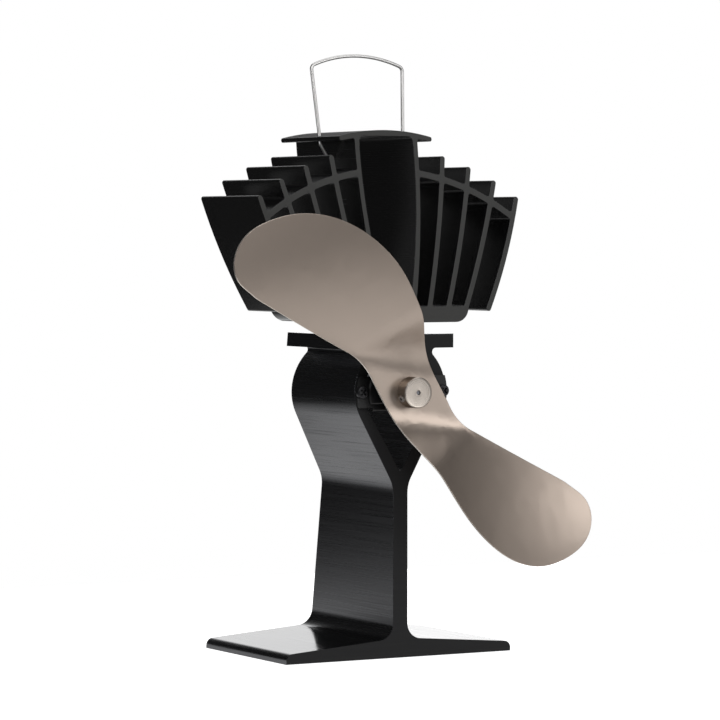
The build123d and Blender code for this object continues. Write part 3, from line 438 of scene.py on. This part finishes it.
# Polished stainless wire: pale and bright, with reflections that are a little blurred and faintly uneven.
handleLook = {
    "colour": "#cfcecd",
    "patchColour": "#c4c3c2",
    "roughness": 0.33,
    "roughnessSpread": 0.03,
    "grainMm": 2.5,
    "patchMm": 12.0,
    "bump": 0.01,
    "bumpMm": 0.02,
    "metallic": 0.9,
    # a darker reflection at a low angle: painted shade on the wire's edges, standing in for the dark room
    # they reflect
    "rimTint": "#b4b4b4",
}
dress(grainyFinish("polishedStainlessWire", handleLook), "wire_handle")

# Pressed steel under black coat, a little pebbled.
bracketLook = {
    "colour": "#101011",
    "patchColour": "#161617",
    "roughness": 0.4,
    "roughnessSpread": 0.08,
    "grainMm": 0.5,
    "patchMm": 5.0,
    "bump": 0.35,
    "bumpMm": 0.03,
    "specular": 0.3,
}
dress(grainyFinish("blackCoatedSteel", bracketLook), "motor_bracket")

# Black oxide on steel screws: dark, thin and slightly oily.
screwLook = {
    "colour": "#18181a",
    "patchColour": "#232225",
    "roughness": 0.36,
    "roughnessSpread": 0.1,
    "grainMm": 0.4,
    "patchMm": 1.6,
    "bump": 0.3,
    "bumpMm": 0.02,
    "metallic": 0.6,
}
dress(grainyFinish("blackOxideScrew", screwLook), "bracket_screws", "motor_screws", "clamp_screws")

# Zinc-plated deep-drawn sheet: pale grey with soft blotches.
canLook = {
    "colour": "#a8a9ab",
    "patchColour": "#97989b",
    "roughness": 0.34,
    "roughnessSpread": 0.08,
    "grainMm": 0.6,
    "patchMm": 3.0,
    "bump": 0.15,
    "bumpMm": 0.02,
    "metallic": 1.0,
}
dress(grainyFinish("zincPlatedCan", canLook), "motor_can")

# Black glass-filled nylon, moulded, faintly mottled.
endCapLook = {
    "colour": "#161616",
    "patchColour": "#1e1e1e",
    "roughness": 0.5,
    "roughnessSpread": 0.08,
    "grainMm": 0.5,
    "patchMm": 3.0,
    "bump": 0.3,
    "bumpMm": 0.03,
}
dress(grainyFinish("mouldedBlackNylon", endCapLook), "motor_end_cap", "clamp_bushes")

# Bright ground steel of the washers and the set screw, and the darker shaft.
steelLook = {
    "colour": "#b6b7b9",
    "patchColour": "#a8a9ac",
    "roughness": 0.24,
    "roughnessSpread": 0.07,
    "grainMm": 0.3,
    "stretch": (1, 0.4, 1),
    "patchMm": 3.0,
    "bump": 0.15,
    "bumpMm": 0.02,
    "metallic": 1.0,
}
dress(grainyFinish("groundSteel", steelLook), "blade_washer", "clamp_washers", "hub_set_screw")
shaftLook = dict(steelLook, colour="#6f6f72", patchColour="#626265")
dress(grainyFinish("groundShaft", shaftLook), "motor_shaft")

# Sintered bronze: brown-gold, dull, open pores.
bronzeLook = {
    "colour": "#8a6a45",
    "patchColour": "#7a5b3a",
    "roughness": 0.5,
    "roughnessSpread": 0.1,
    "grainMm": 0.3,
    "patchMm": 1.5,
    "bump": 0.5,
    "bumpMm": 0.04,
    "metallic": 1.0,
}
dress(grainyFinish("sinteredBronze", bronzeLook), "front_bushing", "rear_bushing")

# Ferrite magnets: charcoal grey, ground, dull.
ferriteLook = {
    "colour": "#3a3a3c",
    "patchColour": "#303032",
    "roughness": 0.6,
    "roughnessSpread": 0.1,
    "grainMm": 0.4,
    "patchMm": 3.0,
    "bump": 0.4,
    "bumpMm": 0.04,
}
dress(grainyFinish("groundFerrite", ferriteLook), "field_magnets")

# Lacquered electrical steel: a stack of thin sheets, so its lines run round the core.
coreLook = {
    "colour": "#7c7d80",
    "patchColour": "#6c6d70",
    "roughness": 0.42,
    "roughnessSpread": 0.1,
    "grainMm": 0.5,
    "stretch": (20, 1, 20),
    "patchMm": 4.0,
    "bump": 0.6,
    "bumpMm": 0.08,
    "metallic": 1.0,
}
dress(grainyFinish("laminatedSteel", coreLook), "armature_core")

# Enamelled copper wire, close wound: red-brown turns that run along the coil.
copperLook = {
    "colour": "#a8552c",
    "patchColour": "#b86a3c",
    "roughness": 0.3,
    "roughnessSpread": 0.08,
    "grainMm": 0.22,
    "stretch": (1, 30, 1),
    "patchMm": 2.0,
    "bump": 0.7,
    "bumpMm": 0.08,
    "metallic": 1.0,
}
dress(grainyFinish("enamelledCopper", copperLook), "armature_windings", "commutator")

# Pressed carbon: near black and chalky.
carbonLook = {
    "colour": "#232324",
    "patchColour": "#2c2c2d",
    "roughness": 0.7,
    "roughnessSpread": 0.08,
    "grainMm": 0.2,
    "patchMm": 1.0,
    "bump": 0.4,
    "bumpMm": 0.03,
}
dress(grainyFinish("pressedCarbon", carbonLook), "carbon_brushes")

# Rolled brass strip, bright with length lines.
brassLook = {
    "colour": "#c9a75c",
    "patchColour": "#bd9a50",
    "roughness": 0.26,
    "roughnessSpread": 0.06,
    "grainMm": 0.2,
    "stretch": (1, 20, 1),
    "patchMm": 2.0,
    "bump": 0.2,
    "bumpMm": 0.02,
    "metallic": 1.0,
}
dress(grainyFinish("rolledBrass", brassLook), "motor_terminals")

# Natural nylon washers: milky white, waxy.
nylonLook = {
    "colour": "#dcd8cb",
    "patchColour": "#d2cdbf",
    "roughness": 0.45,
    "roughnessSpread": 0.05,
    "grainMm": 0.4,
    "patchMm": 1.5,
    "bump": 0.15,
    "bumpMm": 0.02,
}
dress(grainyFinish("naturalNylon", nylonLook), "thrust_washers")

# Graphite sheet: soft, dark silver flakes.
graphiteLook = {
    "colour": "#3b3c3f",
    "patchColour": "#4a4b4f",
    "roughness": 0.48,
    "roughnessSpread": 0.12,
    "grainMm": 0.5,
    "patchMm": 2.5,
    "bump": 0.4,
    "bumpMm": 0.03,
    "metallic": 0.5,
}
dress(grainyFinish("graphiteSheet", graphiteLook), "lower_pad", "upper_pad")

# Ground alumina: white, chalky, very fine.
aluminaLook = {
    "colour": "#e6e4dd",
    "patchColour": "#dedcd4",
    "roughness": 0.55,
    "roughnessSpread": 0.06,
    "grainMm": 0.3,
    "patchMm": 5.0,
    "bump": 0.2,
    "bumpMm": 0.02,
}
dress(grainyFinish("groundAlumina", aluminaLook), "hot_ceramic", "cold_ceramic")

# Sawn bismuth telluride legs: dull steel grey.
legLook = {
    "colour": "#7d7f86",
    "patchColour": "#6f7178",
    "roughness": 0.45,
    "roughnessSpread": 0.1,
    "grainMm": 0.3,
    "patchMm": 1.5,
    "bump": 0.35,
    "bumpMm": 0.03,
    "metallic": 1.0,
}
dress(grainyFinish("bismuthTelluride", legLook), "semiconductor_legs")

# Silicone insulation: soft sheen, a trace of talc.
redLook = {
    "colour": "#8f1512",
    "patchColour": "#9c201b",
    "roughness": 0.48,
    "roughnessSpread": 0.07,
    "grainMm": 0.3,
    "patchMm": 4.0,
    "bump": 0.2,
    "bumpMm": 0.02,
}
dress(grainyFinish("redSilicone", redLook), "red_lead")
blackLook = dict(redLook, colour="#131313", patchColour="#1a1a1a")
dress(grainyFinish("blackSilicone", blackLook), "black_lead", "lead_grommet")
print("all nodes dressed")

# White paper under the fan, its edges and the reach of its glow in metres from the origin.
floorLook = {
    "colour": "#a4a4a4",
    "roughness": 0.3,
    "specular": 0.1,
    "drop": 0.0002,
    "front": 0.55,
    "back": 0.33,
    "left": 0.24,
    "right": 0.75,
    "glow": 1.0,
    "glowReach": (0.18, 0.38),
}

bpy.ops.mesh.primitive_plane_add(size=2, location=(0, 0, -floorLook["drop"]))
floor = bpy.context.object
floor.name = "studioFloor"
for corner in floor.data.vertices:
    corner.co.x *= floorLook["right"] if corner.co.x > 0 else floorLook["left"]
    corner.co.y *= floorLook["back"] if corner.co.y > 0 else floorLook["front"]


def whitePaper(name, look):
    # it takes the object's shadow, looks as white as the background to the camera, and shows in gloss a
    # painted pool of light, glowing from the floor itself, that fades away from the object
    material, tree, shader = newMaterial(name)
    shader.inputs["Base Color"].default_value = linearColour(look["colour"])
    shader.inputs["Roughness"].default_value = look["roughness"]
    shader.inputs["Specular IOR Level"].default_value = look["specular"]
    rays = addNode(tree, "ShaderNodeLightPath")
    place = addNode(tree, "ShaderNodeTexCoord").outputs["Object"]
    away = addNode(tree, "ShaderNodeVectorMath", links={0: place}, operation="LENGTH")
    near, far = look["glowReach"]
    paintedGlowPool = addNode(tree, "ShaderNodeMapRange", {"From Min": far, "From Max": near},
                   {"Value": away.outputs["Value"]})
    inGloss = addNode(tree, "ShaderNodeMath", operation="MULTIPLY",
                      links={0: rays.outputs["Is Glossy Ray"], 1: paintedGlowPool.outputs["Result"]})
    seen = addNode(tree, "ShaderNodeMath", operation="MAXIMUM",
                   links={0: rays.outputs["Is Camera Ray"], 1: inGloss.outputs["Value"]})
    glow = addNode(tree, "ShaderNodeMath", {1: look["glow"]}, {0: seen.outputs["Value"]},
                   operation="MULTIPLY")
    shader.inputs["Emission Color"].default_value = (1, 1, 1, 1)
    tree.links.new(glow.outputs["Value"], shader.inputs["Emission Strength"])
    return material


floor.data.materials.append(whitePaper("whiteFloor", floorLook))

# The room's soft walls, each a way from the object, the closeness to that way at which it begins and is
# full, and its light before and at the full. A white sweep stands behind the fan, a pale wall before it and
# a brighter one to the right of the camera. The rest is dim, so that the black faces stay black. The camera
# itself sees plain white.
roomWalls = {
    "sweep": {"way": (0.49, 0.87, 0.0), "edge": (0.80, 0.93), "light": (0.04, 1.5)},
    "front": {"way": (0.34, -0.94, -0.05), "edge": (0.3, 0.98), "light": (0.0, 0.45)},
    "glare": {"way": (0.606, -0.776, 0.17), "edge": (0.74, 1.0), "light": (0.0, 0.65)},
}


def softRoom(name, walls):
    world = bpy.data.worlds.new(name)
    world.use_nodes = True
    tree = world.node_tree
    tree.nodes.clear()
    rays = addNode(tree, "ShaderNodeLightPath")
    outward = addNode(tree, "ShaderNodeTexCoord").outputs["Generated"]
    brightest = None
    for wall in walls.values():
        closeness = addNode(tree, "ShaderNodeVectorMath", {1: wall["way"]}, {0: outward},
                            operation="DOT_PRODUCT")
        begins, full = wall["edge"]
        dim, bright = wall["light"]
        lit = addNode(tree, "ShaderNodeMapRange",
                      {"From Min": begins, "From Max": full, "To Min": dim, "To Max": bright},
                      {"Value": closeness.outputs["Value"]}).outputs["Result"]
        if brightest:
            brighter = addNode(tree, "ShaderNodeMath", links={0: brightest, 1: lit}, operation="MAXIMUM")
            lit = brighter.outputs["Value"]
        brightest = lit
    seen = addNode(tree, "ShaderNodeMath", operation="MAXIMUM",
                   links={0: rays.outputs["Is Camera Ray"], 1: rays.outputs["Is Transmission Ray"]})
    level = addNode(tree, "ShaderNodeMix", {3: 1.0}, {"Factor": seen.outputs["Value"], 2: brightest})
    paper = addNode(tree, "ShaderNodeBackground", {"Color": (1, 1, 1, 1)}, {"Strength": level.outputs[0]})
    addNode(tree, "ShaderNodeOutputWorld", links={"Surface": paper.outputs["Background"]})
    return world


bpy.context.scene.world = softRoom("studioWorld", roomWalls)

# Large soft lamps: where each stands, what it points at, its width and height, and its power.
lamps = {
    "rightBox": {"place": (0.73, -1.0, 0.4), "aim": (0, 0, 0.13), "size": (0.45, 0.6), "power": 2.8},
    "keyLight": {"place": (-0.45, -1.2, 1.15), "aim": (0, 0, 0.1), "size": (0.9, 0.9), "power": 9.5},
    "leftStrip": {"place": (-1.25, -0.35, 0.3), "aim": (0, 0, 0.13), "size": (0.16, 0.8), "power": 3.2},
    "topLight": {"place": (0.25, 0.0, 1.3), "aim": (0, 0, 0.1), "size": (1.0, 1.0), "power": 5.5},
}
for lampName, lamp in lamps.items():
    lampData = bpy.data.lights.new(lampName, "AREA")
    lampData.shape = "RECTANGLE"
    lampData.size, lampData.size_y = lamp["size"]
    lampData.energy = lamp["power"]
    lampObject = bpy.data.objects.new(lampName, lampData)
    bpy.context.collection.objects.link(lampObject)
    lampObject.location = lamp["place"]
    toAim = Vector(lamp["aim"]) - Vector(lamp["place"])
    lampObject.rotation_euler = toAim.to_track_quat("-Z", "Y").to_euler()

# The photograph's view. The columns of the camera's axes are its right, its up and its backward.
cameraLook = {
    "lens": 186.17,
    "sensor": 36.0,
    "place": (-0.80605, -1.43231, 0.18571),
    "axes": ((0.87116, 0.01719, -0.49070), (-0.49100, 0.03050, -0.87063), (0.0, 0.99939, 0.03501)),
}
cameraData = bpy.data.cameras.new("photoCamera")
cameraData.lens = cameraLook["lens"]
cameraData.sensor_width = cameraLook["sensor"]
cameraData.clip_start = 0.05
cameraData.clip_end = 30.0
camera = bpy.data.objects.new("photoCamera", cameraData)
bpy.context.collection.objects.link(camera)
camera.matrix_world = Matrix.Translation(cameraLook["place"]) @ Matrix(cameraLook["axes"]).to_4x4()
bpy.context.scene.camera = camera
bpy.context.scene.view_settings.view_transform = "Standard"
print("stage set")
